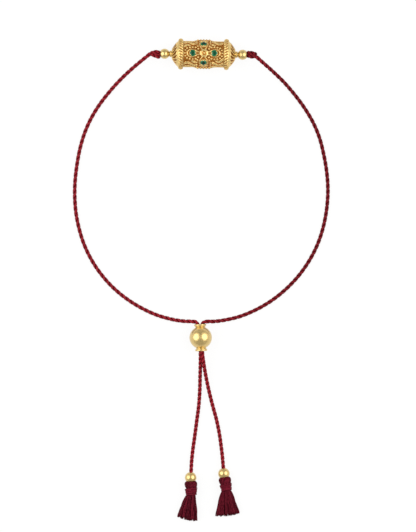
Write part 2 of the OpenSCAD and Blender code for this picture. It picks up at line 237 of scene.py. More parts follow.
class StoneSettings(bpy.types.PropertyGroup):
    """Sizes and colour of the stones."""
    diameter: length_setting("Stone", "Diameter of the girdle", 1.9)
    side_place: length_setting("Side stones", "Distance of the side stones from the rosette", 3.34)
    top_place: length_setting(
        "Upper stones", "Distance of the upper and lower stones, round the barrel", 2.9)
    lift: length_setting("Lift", "Height of the seats above the ground", 0.15)
    colour: colour_setting("Green", "Colour of the stones", "#0A5C38")


class BeadSettings(bpy.types.PropertyGroup):
    """Sizes of the drilled beads."""
    hole: length_setting("Hole", "Diameter of the hole through a small bead", 1.3)
    slide_length: length_setting("Slide length", "Length of the sliding bead with its collars", 8.4)
    slide_hole: length_setting("Slide hole", "Diameter of the hole that takes both cords", 2.5)


class CordSettings(bpy.types.PropertyGroup):
    """Size, lay and colours of the cord."""
    diameter: length_setting("Cord", "Width of the twisted cord", 1.1)
    loop_lay: length_setting("Lay in the loop", "Length of one whole turn of the plies", 3.5)
    tail_lay: length_setting("Lay in the tails", "Length of one whole turn of the plies below the slide", 2.8)
    # The crown colour is a painted highlight on the plies, and the colour between them is painted shade
    light: colour_setting("Cord light", "Colour on the crowns of the plies", "#9B2530")
    dark: colour_setting("Cord dark", "Colour between the plies", "#6B0B16")


class TasselSettings(bpy.types.PropertyGroup):
    """Threads and colours of the tassels."""
    threads: IntProperty(name="Threads", description="Loose threads in each tassel", default=210)
    thread_diameter: length_setting("Thread", "Diameter of a thread", 0.32)
    light: colour_setting("Thread light", "Lightest thread", "#6C1828")
    dark: colour_setting("Thread dark", "Darkest thread", "#3A0811")


class BraceletSettings(bpy.types.PropertyGroup):
    """All settings of the bracelet."""
    stage: PointerProperty(type=StageSettings)
    gold: PointerProperty(type=GoldSettings)
    barrel: PointerProperty(type=BarrelSettings)
    stones: PointerProperty(type=StoneSettings)
    beads: PointerProperty(type=BeadSettings)
    cord: PointerProperty(type=CordSettings)
    tassels: PointerProperty(type=TasselSettings)


# Materials

def new_material(name):
    """An empty node material of that name, and its tree."""
    material = bpy.data.materials.new(name)
    material.use_nodes = True
    material.node_tree.nodes.clear()
    return material, material.node_tree


def add_node(tree, kind, inputs=None, stops=(), **settings):
    """Adds a node. inputs gives its sockets a value or a link, and stops the colours of its ramp."""
    node = tree.nodes.new(kind)
    for name, value in settings.items():
        setattr(node, name, value)
    for socket, value in (inputs or {}).items():
        if isinstance(value, bpy.types.NodeSocket):
            tree.links.new(value, node.inputs[socket])
        else:
            node.inputs[socket].default_value = value
    for i, (place, colour) in enumerate(stops):
        stop = node.color_ramp.elements[i] if i < 2 else node.color_ramp.elements.new(place)
        stop.position = place
        stop.color = (*colour, 1)
    return node


# The recess value of the ground between the wires: matt, browner gold darkened with painted shade
GROUND_PAINTED_SHADE = 0.6


def gold_material(gold, satin=False):
    """Gold plate, cast and finished by hand: warm metal with fine wear that softens its reflections.
    The recess attribute is 0 where the metal is bright. The ground between the raised work and the feet
    of its wires are matt, a browner gold and darkened with painted shade, and the painted shade is darkest in
    the flutes, where the attribute is 1.
    The polished beads have a thin clear lacquer, which gives their highlights a whiter core."""
    name = "gold_plate_with_dark_ground" if satin else "polished_gold_plate"
    if name in bpy.data.materials:
        return bpy.data.materials[name]
    material, tree = new_material(name)
    shine = gold.satin if satin else gold.polish
    bright = shaded(gold.bright, 1.0 if satin else 0.93)
    wear_size = mm(0.6)
    dent_size = mm(1.5)
    place = add_node(tree, "ShaderNodeTexCoord").outputs["Object"]
    wear = add_node(tree, "ShaderNodeTexNoise", {
        "Vector": place, "Scale": 1 / wear_size, "Detail": 4}).outputs["Fac"]
    dents = add_node(tree, "ShaderNodeTexNoise", {
        "Vector": place, "Scale": 1 / dent_size, "Detail": 1}).outputs["Fac"]
    bump = add_node(tree, "ShaderNodeBump", {"Height": dents, "Strength": 0.1, "Distance": mm(0.05)})
    rough = add_node(tree, "ShaderNodeMapRange", {
        "Value": wear, "From Min": 0.3, "From Max": 0.7, "To Min": shine - 0.05, "To Max": shine + 0.08})
    tint = add_node(tree, "ShaderNodeValToRGB", {"Fac": wear}, stops=(
        (0.3, shaded(bright, 0.9)), (0.7, bright)))
    # Painted shade: the recess colour in the ground and at the feet of the wires, darker still in the flutes
    painted_shade_depth = add_node(tree, "ShaderNodeAttribute", attribute_name="recess").outputs["Fac"]
    wear_and_painted_shade = add_node(tree, "ShaderNodeMath", {0: wear, 1: 0.5, 2: painted_shade_depth}, operation="MULTIPLY_ADD")
    ground = add_node(tree, "ShaderNodeValToRGB", {"Fac": wear_and_painted_shade.outputs["Value"]}, stops=(
        (GROUND_PAINTED_SHADE + 0.2, gold.recess), (1.0, shaded(gold.recess, 0.48))))
    share = add_node(tree, "ShaderNodeMath", {0: painted_shade_depth, 1: 1 / GROUND_PAINTED_SHADE},
                     operation="MULTIPLY", use_clamp=True).outputs["Value"]
    colour = add_node(tree, "ShaderNodeMix", {
        "Factor": share, "A": tint.outputs["Color"], "B": ground.outputs["Color"]}, data_type="RGBA")
    roughness = add_node(tree, "ShaderNodeMix", {"Factor": share, "A": rough.outputs["Result"], "B": 0.5})
    metal = add_node(tree, "ShaderNodeBsdfPrincipled", {
        "Base Color": colour.outputs["Result"], "Roughness": roughness.outputs["Result"], "Metallic": 1.0,
        "Normal": bump.outputs["Normal"], "Coat Weight": 0.0 if satin else 0.6, "Coat Roughness": 0.2})
    add_node(tree, "ShaderNodeOutputMaterial", {"Surface": metal.outputs["BSDF"]})
    return material


def stone_material(stones):
    """Green glass, faceted and polished, with painted light: painted shade in the middle, where the light
    goes through, and painted reflections round it, with sharp facets. The tone attribute is the painted
    brightness of each ring of the cut."""
    material, tree = new_material("faceted_green_glass")
    cloud_size = mm(0.45)
    place = add_node(tree, "ShaderNodeTexCoord").outputs["Object"]
    clouds = add_node(tree, "ShaderNodeTexNoise", {
        "Vector": place, "Scale": 1 / cloud_size, "Detail": 2}).outputs["Fac"]
    tone = add_node(tree, "ShaderNodeAttribute", attribute_name="tone").outputs["Fac"]
    lit = add_node(tree, "ShaderNodeMath", {0: clouds, 1: tone}, operation="MULTIPLY")
    tint = add_node(tree, "ShaderNodeValToRGB", {"Fac": lit.outputs["Value"]}, stops=(
        (0.08, shaded(stones.colour, 0.08)), (0.55, shaded(stones.colour, 1.7))))
    glass = add_node(tree, "ShaderNodeBsdfPrincipled", {
        "Base Color": tint.outputs["Color"], "Roughness": 0.06, "IOR": 1.55, "Specular IOR Level": 0.35})
    add_node(tree, "ShaderNodeOutputMaterial", {"Surface": glass.outputs["BSDF"]})
    return material


def cord_material(name, light, dark):
    """Twisted rayon cord: silky plies of fine fibres, with a painted highlight on their crowns and painted
    shade where they meet. The UV map runs in millimetres along a ply and once round it, and the tone
    attribute is lower where painted shade darkens the loop."""
    material, tree = new_material(name)
    fibres_round = 16
    fibre_length_mm = 2.5
    middle = [(a + b) / 2 for a, b in zip(light, dark)]
    place = add_node(tree, "ShaderNodeTexCoord").outputs["UV"]
    stretched = add_node(tree, "ShaderNodeMapping", {
        "Vector": place, "Rotation": (0, 0, 0.02), "Scale": (1 / fibre_length_mm, fibres_round, 1)})
    fibres = add_node(tree, "ShaderNodeTexNoise", {
        "Vector": stretched.outputs["Vector"], "Scale": 1.0, "Detail": 2}).outputs["Fac"]
    round_ply = add_node(tree, "ShaderNodeSeparateXYZ", {"Vector": place}).outputs["Y"]
    # Painted highlight on the crowns of the plies and painted shade where they meet
    shade = add_node(tree, "ShaderNodeValToRGB", {"Fac": round_ply}, stops=(
        (0.0, light), (1.0, light), (0.26, middle), (0.36, dark), (0.64, dark), (0.74, middle)))
    streak = add_node(tree, "ShaderNodeValToRGB", {"Fac": fibres}, stops=(
        (0.3, (0.62, 0.55, 0.55)), (0.7, (1.2, 1.15, 1.15))))
    streaked = add_node(tree, "ShaderNodeMix", {
        "Factor": 1.0, "A": shade.outputs["Color"], "B": streak.outputs["Color"]},
        data_type="RGBA", blend_type="MULTIPLY")
    tone = add_node(tree, "ShaderNodeAttribute", attribute_name="tone").outputs["Fac"]
    dyed = add_node(tree, "ShaderNodeMix", {
        "Factor": 1.0, "A": streaked.outputs["Result"], "B": tone}, data_type="RGBA", blend_type="MULTIPLY")
    bump = add_node(tree, "ShaderNodeBump", {"Height": fibres, "Strength": 0.5, "Distance": mm(0.06)})
    rayon = add_node(tree, "ShaderNodeBsdfPrincipled", {
        "Base Color": dyed.outputs["Result"], "Roughness": 0.5, "Normal": bump.outputs["Normal"],
        "Specular IOR Level": 0.06})
    add_node(tree, "ShaderNodeOutputMaterial", {"Surface": rayon.outputs["BSDF"]})
    return material


def thread_material(tassels):
    """Rayon embroidery thread: soft, dark, silky and crimped, mottled with painted glints and painted shade
    along it. The tone attribute is the thread's own shade, which also sets where its painted light and dark
    lie, and the
    UV map runs in millimetres along it."""
    material, tree = new_material("rayon_tassel_thread")
    twist_mm = 0.8
    glint_mm = 0.45
    glint_contrast = 2.7
    thread_spread = 60.0
    place = add_node(tree, "ShaderNodeTexCoord").outputs["UV"]
    tone = add_node(tree, "ShaderNodeAttribute", attribute_name="tone").outputs["Fac"]
    slanted = add_node(tree, "ShaderNodeMapping", {
        "Vector": place, "Scale": (1 / twist_mm, 1, 1)}).outputs["Vector"]
    twist = add_node(tree, "ShaderNodeTexWave", {
        "Vector": slanted, "Scale": 0.3, "Distortion": 0.5, "Detail": 1.0}, bands_direction="DIAGONAL")
    own = add_node(tree, "ShaderNodeMath", {0: tone, 1: thread_spread}, operation="MULTIPLY")
    # Painted glints and painted shade along each crimped thread, mixed with its own tone
    crimp_glints = add_node(tree, "ShaderNodeTexNoise", {
        "Vector": slanted, "W": own.outputs["Value"], "Scale": twist_mm / glint_mm, "Detail": 1},
        noise_dimensions="4D")
    tone_and_glints = add_node(tree, "ShaderNodeMath", {
        0: crimp_glints.outputs["Fac"], 1: glint_contrast, 2: tone}, operation="MULTIPLY_ADD")
    lit = add_node(tree, "ShaderNodeMapRange", {
        "Value": tone_and_glints.outputs["Value"], "From Min": 1.25, "From Max": 2.45})
    shade = add_node(tree, "ShaderNodeValToRGB", {"Fac": lit.outputs["Result"]}, stops=(
        (0.0, tassels.dark), (1.0, tassels.light)))
    bump = add_node(tree, "ShaderNodeBump", {
        "Height": twist.outputs["Fac"], "Strength": 0.4, "Distance": mm(0.05)})
    rayon = add_node(tree, "ShaderNodeBsdfPrincipled", {
        "Base Color": shade.outputs["Color"], "Roughness": 0.55, "Normal": bump.outputs["Normal"],
        "Specular IOR Level": 0.03})
    add_node(tree, "ShaderNodeOutputMaterial", {"Surface": rayon.outputs["BSDF"]})
    return material


def panel_material(stage):
    """Opal acrylic panel, lit from within: evenly white, with only soft and pale shadows on it."""
    material, tree = new_material("backlit_opal_acrylic")
    haze_size = mm(60)
    place = add_node(tree, "ShaderNodeTexCoord").outputs["Object"]
    haze = add_node(tree, "ShaderNodeTexNoise", {"Vector": place, "Scale": 1 / haze_size, "Detail": 1})
    tint = add_node(tree, "ShaderNodeValToRGB", {"Fac": haze.outputs["Fac"]}, stops=(
        (0.3, shaded(stage.panel_colour, 0.99)), (0.7, stage.panel_colour)))
    panel = add_node(tree, "ShaderNodeBsdfPrincipled", {
        "Base Color": tint.outputs["Color"], "Roughness": 0.9, "Specular IOR Level": 0.1,
        "Emission Color": (1, 1, 1, 1), "Emission Strength": stage.panel_glow})
    add_node(tree, "ShaderNodeOutputMaterial", {"Surface": panel.outputs["BSDF"]})
    return material


# Making meshes

def new_piece():
    """An empty piece, with a UV map, and for each point a tone that can carry painted light, and a painted
    recess shade.
    """
    bm = bmesh.new()
    bm.loops.layers.uv.new("UVMap")
    bm.verts.layers.float.new("tone")
    bm.verts.layers.float.new("recess")
    return bm


def new_object(name, data):
    """An object in the scene, with a mesh, a camera or a lamp as its data."""
    made = bpy.data.objects.new(name, data)
    bpy.context.scene.collection.objects.link(made)
    return made


def mesh_object(bm, name, material):
    """An object with a piece's mesh, which it frees, in one material."""
    mesh = bpy.data.meshes.new(name)
    bm.to_mesh(mesh)
    bm.free()
    mesh.materials.append(material)
    return new_object(name, mesh)


def keep_piece(bm, name, material, nodes, sharp_angle=math.radians(50)):
    """Closes a piece, makes it an object that stands for the nodes, and lets it ride on the bracelet."""
    bmesh.ops.holes_fill(bm, edges=[e for e in bm.edges if e.is_boundary], sides=0)
    bmesh.ops.recalc_face_normals(bm, faces=bm.faces[:])
    piece = mesh_object(bm, name, material)
    piece.data.shade_smooth()
    piece.data.set_sharp_from_angle(angle=sharp_angle)
    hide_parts(*nodes)
    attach(piece, "root")
    return piece


def add_part(bm, part, place):
    """Adds a part to a piece at its place, and frees it."""
    part.transform(place)
    mesh = bpy.data.meshes.new("part")
    part.to_mesh(mesh)
    part.free()
    bm.from_mesh(mesh)
    bpy.data.meshes.remove(mesh)


def lathe(outline, steps):
    """A closed outline of (radius, height) points turned about the Z axis. A ring of points next to the
    axis becomes one pole."""
    part = new_piece()
    verts = [part.verts.new((radius, 0, height)) for radius, height in outline]
    edges = [part.edges.new((verts[i - 1], verts[i])) for i in range(len(verts))]
    bmesh.ops.spin(
        part, geom=verts + edges, cent=(0, 0, 0), axis=(0, 0, 1), angle=2 * math.pi, steps=steps,
        use_merge=True)
    bmesh.ops.remove_doubles(part, verts=part.verts[:], dist=mm(0.001))
    return part


def sweep(bm, points, ups, section, sides, closed=False, tone=0.5):
    """Rolls a grid into a tube along a path. section(i, angle) gives how far the surface lies to
    the side of point i and above it. tone is one number, or a list with one for each point.
    The UV map runs in millimetres along and once round."""
    count = len(points)
    last = count if closed else count - 1
    frames = []
    for i, point in enumerate(points):
        ahead = points[(i + 1) % count] if closed else points[min(i + 1, last)]
        behind = points[i - 1] if closed else points[max(i - 1, 0)]
        along = (ahead - behind).normalized()
        side = along.cross(ups[i]).normalized()
        frames.append((point, side, side.cross(along)))
    length_mm = 1000 * sum((points[i] - points[i - 1]).length for i in range(1, count))
    grid = bmesh.ops.create_grid(bm, x_segments=last, y_segments=sides, size=0.5, calc_uvs=True)["verts"]
    tones = bm.verts.layers.float["tone"]
    for vert in grid:
        i = round((vert.co.x + 0.5) * last)
        angle = 2 * math.pi * (vert.co.y + 0.5)
        point, side, up = frames[i % count]
        across, above = section(i % count, angle)
        vert.co = point + side * across + up * above
        vert[tones] = tone[i % count] if isinstance(tone, list) else tone
    uvs = bm.loops.layers.uv["UVMap"]
    for face in {f for v in grid for f in v.link_faces}:
        for loop in face.loops:
            loop[uvs].uv.x *= length_mm
    bmesh.ops.remove_doubles(bm, verts=grid, dist=1e-7)


def oval_section(half_width, half_height, count, taper=0):
    """An oval section for sweep, its last few rings drawn in over taper rings at each end."""
    def section(i, angle):
        near = min(i, count - 1 - i)
        share = 1.0 if near >= taper else math.sqrt(1 - ((taper - near) / (taper + 0.3)) ** 2)
        return half_width * share * math.sin(angle), half_height * share * math.cos(angle)
    return section


def carried_ups(points, first):
    """Directions carried along a path from the first, without turning about it."""
    ups = [first]
    for i in range(1, len(points)):
        along = (points[i] - points[i - 1]).normalized()
        ups.append((ups[-1] - along * along.dot(ups[-1])).normalized())
    return ups


def smooth_path(points, step):
    """A smooth path through the points, with a point at every step or so."""
    points = [Vector(p) for p in points]
    spans = [(b - a).length for a, b in zip(points, points[1:])]
    slopes = [(points[1] - points[0]) / spans[0]]
    for i in range(1, len(points) - 1):
        slopes.append((points[i + 1] - points[i - 1]) / (spans[i - 1] + spans[i]))
    slopes.append((points[-1] - points[-2]) / spans[-1])
    path = [points[0]]
    for i, span in enumerate(spans):
        pieces = max(1, round(span / step))
        for k in range(1, pieces + 1):
            t = k / pieces
            path.append(
                points[i] * (2 * t ** 3 - 3 * t ** 2 + 1) + points[i + 1] * (3 * t ** 2 - 2 * t ** 3)
                + slopes[i] * span * (t ** 3 - 2 * t ** 2 + t) + slopes[i + 1] * span * (t ** 3 - t ** 2))
    return path


def evened(pairs, step, closed=False):
    """The pairs with more set between them, so that none are further apart than step."""
    result = []
    ends = pairs[1:] + (pairs[:1] if closed else [])
    for a, b in zip(pairs, ends):
        parts = max(1, math.ceil(math.dist(a, b) / step))
        result += [(a[0] + (b[0] - a[0]) * k / parts, a[1] + (b[1] - a[1]) * k / parts) for k in range(parts)]
    return result if closed else result + [pairs[-1]]


# The barrel

RIM_X = mm(7.1)
RIM_RADIUS = node_size("barrel").z / 2
BELLY_FLAT = mm(1.8)
BELLY_END = mm(3.4)
DOME_FROM = mm(7.6)
DOME_TO = mm(9.85)
FLUTE_FROM = mm(8.3)
FLUTE_TO = mm(9.82)

# Outlines of a rim with the ring beside it, and of a ferrule: along the barrel and out from its axis,
# in millimetres
RIM_OUTLINE = (
    (6.24, 3.8), (6.26, 4.15), (6.32, 4.27), (6.42, 4.31), (6.52, 4.27), (6.58, 4.2), (6.62, 4.28),
    (6.8, 4.44), (7.0, 4.58), (7.1, 4.61), (7.2, 4.58), (7.4, 4.46), (7.56, 4.4))
FERRULE_OUTLINE = (
    (9.88, 1.2), (9.95, 1.0), (10.05, 0.93), (10.14, 0.95), (10.2, 1.02), (10.32, 1.06), (10.44, 1.02),
    (10.53, 0.92), (10.58, 0.8), (10.58, 0.65))

# A fine ring on a dome and the groove beside it: place along the barrel, height and half width
DOME_RINGS = ((mm(7.88), mm(0.1), mm(0.1)), (mm(8.2), mm(-0.07), mm(0.05)))


def ground_radius(barrel, x):
    """Radius of the barrel's ground at x along it: a tube with a low belly in the middle."""
    rise = clamp((BELLY_END - abs(x)) / (BELLY_END - BELLY_FLAT))
    return barrel.tube_diameter / 2 + barrel.belly_height * eased(rise)


def round_angle(barrel, v):
    """Angle at which a distance v lies round the barrel from its front."""
    return v / (barrel.tube_diameter / 2 + barrel.belly_height)


def at_ground(barrel, x, v, height=0.0, turn=0.0):
    """Place at x along the barrel, v round it and a height above its ground, with Z outwards and
    X along the barrel."""
    return (
        Matrix.Rotation(-round_angle(barrel, v), 4, "X")
        @ Matrix.Translation((x, 0, ground_radius(barrel, x) + height))
        @ Matrix.Rotation(turn, 4, "Z"))


def outward(points):
    """Directions out from the barrel's axis at the points."""
    return [Vector((0, p.y, p.z)).normalized() for p in points]


def repeat_behind(bm):
    """Repeats the front's ornament on the back."""
    copy = bmesh.ops.duplicate(bm, geom=bm.verts[:] + bm.edges[:] + bm.faces[:])["geom"]
    bmesh.ops.transform(bm, matrix=BEHIND, verts=[g for g in copy if isinstance(g, bmesh.types.BMVert)])


def dome_radius(x):
    """Radius of a dome at x, with its ring and groove."""
    share = (x - DOME_FROM) / (DOME_TO - DOME_FROM)
    wide, narrow, bulge = mm(4.275), mm(1.55), mm(0.3)
    radius = wide + (narrow - wide) * share + bulge * math.sin(math.pi * share)
    for place, height, half_width in DOME_RINGS:
        radius += height * math.exp(-((x - place) / half_width) ** 2)
    return radius


def half_outline(barrel):
    """Half of the barrel's outline, (x, radius) from its middle to its bore."""
    ground = [mm(0.2) * i for i in range(31)]
    dome = [DOME_FROM + mm(0.05) * i for i in range(46)]
    return (
        [(x, ground_radius(barrel, x)) for x in ground] + in_metres(RIM_OUTLINE)
        + [(x, dome_radius(x)) for x in dome] + in_metres(FERRULE_OUTLINE))


def takes_painted_ground_shade(x, radius):
    """Whether a point of the barrel lies between the rims or under a rope, and not in the bore: ground that
    gets painted shade.
    """
    between_rims = abs(x) < mm(6.25)
    under_rope = mm(6.7) < abs(x) < mm(7.5)
    return radius > mm(3) and (between_rims or under_rope)


def carve_domes(bm, barrel):
    """Turns the domes' columns into a swirl and sinks a leaf-shaped flute along each swirl.
    The recess layer marks how deep each point lies, as painted shade that is darkest in the flutes, and the
    ground between the rims and under the ropes, which gets painted shade too."""
    recess = bm.verts.layers.float["recess"]
    swirl = math.radians(33)
    deep = mm(0.36)
    widest = 0.39
    slope_width = 0.17
    deeper_shade_in_petals = 0.1
    past_bore = mm(1)
    flute_angle = 2 * math.pi / barrel.flutes
    for vert in bm.verts:
        x, y, z = vert.co
        radius, angle = math.hypot(y, z), math.atan2(y, z)
        share = clamp((abs(x) - FLUTE_FROM) / (FLUTE_TO - FLUTE_FROM))
        if 0 < share < 1 and radius > past_bore:
            half_width = widest * math.sin(math.pi * share ** 0.75) ** 0.65
            off = abs((angle / flute_angle) % 1 - 0.5)
            # Painted shade, deepest at the bottom of each flute
            vert[recess] = eased(clamp((half_width - off) / slope_width))
            radius -= deep * vert[recess]
        elif takes_painted_ground_shade(x, radius):
            # The ground between the rims and under the ropes gets painted shade, deeper inside the petals
            in_petals = abs(x) < mm(5.2) and abs(y) < mm(1.4)
            vert[recess] = GROUND_PAINTED_SHADE + (deeper_shade_in_petals if in_petals else 0)
        angle -= share * swirl
        vert.co = (x, radius * math.sin(angle), radius * math.cos(angle))


class BRACELET_OT_barrel(bpy.types.Operator):
    """Turns the barrel with its rims, fluted domes and ferrules"""
    bl_idname = "bracelet.barrel"
    bl_label = "Barrel"

    def execute(self, context):
        settings = context.scene.bracelet
        barrel = settings.barrel
        half = half_outline(barrel)
        outline = [(r, x) for x, r in half] + [(r, -x) for x, r in reversed(half[1:])]
        columns_per_flute = 24
        body = lathe(outline, barrel.flutes * columns_per_flute)
        body.transform(ALONG_X)
        carve_domes(body, barrel)
        body.transform(BARREL_PLACE)
        plate = gold_material(settings.gold, satin=True)
        keep_piece(body, "barrel_body", plate, ["barrel"], math.radians(75))
        return {"FINISHED"}


ROPE_HALF_LENGTH = mm(0.58)
ROPE_HALF_HEIGHT = mm(0.15)


def rope_floor(x):
    """Radius on which the strands of a rim's rope lie, at x along the barrel."""
    arch = mm(0.32)
    share = (abs(x) - RIM_X) / ROPE_HALF_LENGTH
    return RIM_RADIUS - 2 * ROPE_HALF_HEIGHT - arch * abs(share) ** 1.7


def add_rope(bm, barrel, side):
    """Rope of slanting strands that arch over one rim."""
    lean = math.tan(math.radians(44)) * side
    half_width = mm(0.29)
    count = 9
    for k in range(barrel.rope_strands):
        path = []
        for i in range(count):
            along = ROPE_HALF_LENGTH * (2 * i / (count - 1) - 1)
            radius = rope_floor(RIM_X + along) + ROPE_HALF_HEIGHT
            angle = 2 * math.pi * k / barrel.rope_strands + lean * along / RIM_RADIUS
            path.append(Vector((side * RIM_X + along, radius * math.sin(angle), radius * math.cos(angle))))
        sweep(bm, path, outward(path), oval_section(half_width, ROPE_HALF_HEIGHT, count, 1), 10)


def paint_shade_at_feet(bm, floor, height):
    """Marks in the recess layer how far down each point of raised work lies between a height, where the metal
    is bright, and the floor under it: painted shade at the feet. floor(x) is the floor's radius."""
    recess = bm.verts.layers.float["recess"]
    for vert in bm.verts:
        x, y, z = vert.co
        vert[recess] = GROUND_PAINTED_SHADE * clamp(1 - (math.hypot(y, z) - floor(x)) / height)


def add_ball(bm, place, length, width, height):
    """A ball or drop of those half sizes, its poles along X."""
    sizes = Matrix.Diagonal((height, width, length, 1))
    bmesh.ops.create_uvsphere(
        bm, u_segments=8, v_segments=6, radius=1, matrix=place @ ALONG_X @ sizes)


def petal(tip, centre, radius):
    """Outline of a petal whose tip points at the rosette: a round end and two straight sides."""
    steps = 23
    opening = math.pi - math.acos(radius / (centre - tip))
    angles = [opening * (1 - 2 * i / steps) for i in range(steps + 1)]
    return [(tip, 0)] + [(centre + radius * math.cos(a), radius * math.sin(a)) for a in angles]


def turned(pairs, quarters):
    """Pairs turned about the rosette by quarter turns."""
    for _ in range(quarters):
        pairs = [(-v, x) for x, v in pairs]
    return pairs


def lay_wire(bm, barrel, pairs, width, closed=False):
    """Flattened wire soldered on the ground through pairs of places along and round the barrel."""
    height = width * 0.66
    lift = height * 0.3
    spacing = mm(0.16)
    places = [at_ground(barrel, x, v, lift) for x, v in evened(pairs, spacing, closed)]
    points = [place.to_translation() for place in places]
    taper = 0 if closed else 2
    sweep(bm, points, outward(points), oval_section(width / 2, height / 2, len(points), taper), 10, closed)


def set_grains(bm, barrel, pairs, size=1.0):
    """Round grains soldered on the ground at pairs of places along and round the barrel."""
    radius = size * barrel.grain_diameter / 2
    lift = radius * 0.45
    for x, v in pairs:
        add_ball(bm, at_ground(barrel, x, v, lift), radius, radius, radius)


# Waves in the corners: side, upper or lower, crest along the barrel and height in millimetres
WAVES = (
    (-1, 1, 5.05, 0.62),
    (-1, -1, 5.05, -0.66),
    (1, 1, 4.95, -0.6),
    (1, -1, 4.7, 0.68),
)
WAVE_LENGTH = 4.4
WAVE_ROWS = (2.06, 2.52, 3.72, 4.24, 5.42, 5.9)


def lay_waves(bm, barrel, side, half, crest, height):
    """Pairs of touching wires that wave between the middle panel and the rim, with the ground between the
    pairs darkened by painted shade. The inner wires stop where the border of grains leaves no room for them."""
    first_x, step, count = 2.4, 0.1, 39
    border_x, border_squeeze, border_radius = 4.4, 1.25, 2.48
    fewest_points = 9
    for v in WAVE_ROWS:
        calmer_outside = 1 - 0.12 * (v - 3)
        runs = [[]]
        for i in range(count):
            x = first_x + step * i
            lifted = v + height * math.cos(2 * math.pi * (x - crest) / WAVE_LENGTH) * calmer_outside
            if math.hypot(max(0, x - border_x) * border_squeeze, lifted) > border_radius:
                runs[-1].append((side * mm(x), half * mm(lifted)))
            elif runs[-1]:
                runs.append([])
        for pairs in runs:
            if len(pairs) >= fewest_points:
                lay_wire(bm, barrel, pairs, barrel.wire_diameter * 1.04)


# Half of the grains in a side petal's border: how far outwards and round from its stone, in millimetres
BORDER = ((2.5, 0), (2.36, 0.94), (1.8, 1.62), (0.95, 1.9), (0.0, 1.95), (-0.9, 1.76))

# From the rosette, in millimetres: the grains between a side petal and its border, the smaller grains in
# the corners, and the grains beyond the arch of an upper or lower petal
INNER_GRAINS = ((1.66, 1.27), (1.66, -1.27))
CORNER_GRAINS = ((1.8, 2.16), (1.8, -2.16))
ARCH_GRAINS = ((5.7, 0), (5.66, 0.9), (5.66, -0.9), (5.45, 1.78), (5.45, -1.78))

# Bars beside the upper and lower petals: place along the barrel, and start and end round it, and the two
# grains that take the place of one bar's start, in millimetres
BARS = ((-2.1, -4.3, -6.1), (-2.1, 2.75, 6.1), (2.1, -2.75, -6.1), (2.1, 2.75, 6.1))
BAR_GRAINS = ((-2.15, -2.9), (-2.15, -3.85))

PETAL_WIRE = 0.94
BAR_WIRE = 0.85


def lay_side_petal(wires, grains, barrel, stones, quarters):
    """Petal round a side stone in a border of grains, of which the outer ones stand on spokes."""
    round_end = stones.side_place + mm(0.46)
    frame = petal(mm(0.75), round_end, mm(1.29))
    lay_wire(wires, barrel, turned(frame, quarters), barrel.wire_diameter * PETAL_WIRE, True)
    border = [(stones.side_place + x, v) for x, v in in_metres(BORDER)]
    innermost = border[-1]
    border += [(x, -v) for x, v in border if v]
    set_grains(grains, barrel, turned(border, quarters))
    first_spoke = stones.side_place + mm(0.9)
    inwards = mm(0.32)
    for x, v in border:
        if x > first_spoke:
            turn = math.atan2(v, x - round_end)
            place, = turned([(x - inwards * math.cos(turn), v - inwards * math.sin(turn))], quarters)
            spoke = at_ground(barrel, *place, mm(0.08), turn + quarters * math.pi / 2)
            add_ball(grains, spoke, mm(0.36), mm(0.17), mm(0.16))
    set_grains(grains, barrel, turned(in_metres(INNER_GRAINS), quarters))
    corners = in_metres(CORNER_GRAINS)
    set_grains(grains, barrel, turned(corners, quarters), 0.9)
    lay_wire(wires, barrel, turned([corners[0], innermost], quarters), barrel.grain_diameter * BAR_WIRE)


def lay_upper_petal(wires, grains, barrel, stones, quarters):
    """Petal round an upper or lower stone, under an arch of wire with grains beyond it."""
    round_end = stones.top_place + mm(0.05)
    frame = petal(mm(0.55), round_end, mm(1.3))
    lay_wire(wires, barrel, turned(frame, quarters), barrel.wire_diameter * PETAL_WIRE, True)
    arch_radius = mm(1.85)
    angles = [math.radians(-50 + 10 * i) for i in range(11)]
    arch = [(round_end + arch_radius * math.cos(a), arch_radius * math.sin(a)) for a in angles]
    lay_wire(wires, barrel, turned(arch, quarters), barrel.wire_diameter)
    set_grains(grains, barrel, turned(in_metres(ARCH_GRAINS), quarters))


# Outline of the rosette's plate, (radius, height) in millimetres: a shallow dish, and a ring round it
ROSETTE_OUTLINE = (
    (0.0001, -0.2), (0.0001, 0.26), (0.42, 0.24), (0.52, 0.2), (0.6, 0.24), (0.72, 0.34), (0.82, 0.37),
    (1.0, 0.35), (1.15, 0.31), (1.2, 0.25), (1.2, -0.2))


def add_rosette(bm, barrel):
    """Flower plate with eight leaves, round a ball in a shallow dish of browner gold with painted shade. It
    sits a little off the barrel's middle."""
    off = mm(0.2)
    front = at_ground(barrel, off, 0)
    disc = lathe(in_metres(ROSETTE_OUTLINE), 40)
    recess = disc.verts.layers.float["recess"]
    for vert in disc.verts:
        # The dish gets the ground's painted shade
        in_dish = mm(0.4) < vert.co.xy.length < mm(0.7)
        vert[recess] = GROUND_PAINTED_SHADE if in_dish else 0
    add_part(bm, disc, front)
    leaves = 8
    leaf = Matrix.Translation((mm(0.98), 0, 0)) @ Matrix.Diagonal((mm(0.4), mm(0.36), mm(0.12), 1))
    for i in range(leaves):
        place = at_ground(barrel, off, 0, mm(0.21), 2 * math.pi * (i + 0.5) / leaves)
        bmesh.ops.create_icosphere(bm, subdivisions=3, radius=1, matrix=place @ leaf)
    bmesh.ops.create_icosphere(
        bm, subdivisions=3, radius=mm(0.36), matrix=front @ Matrix.Translation((0, 0, mm(0.3))))


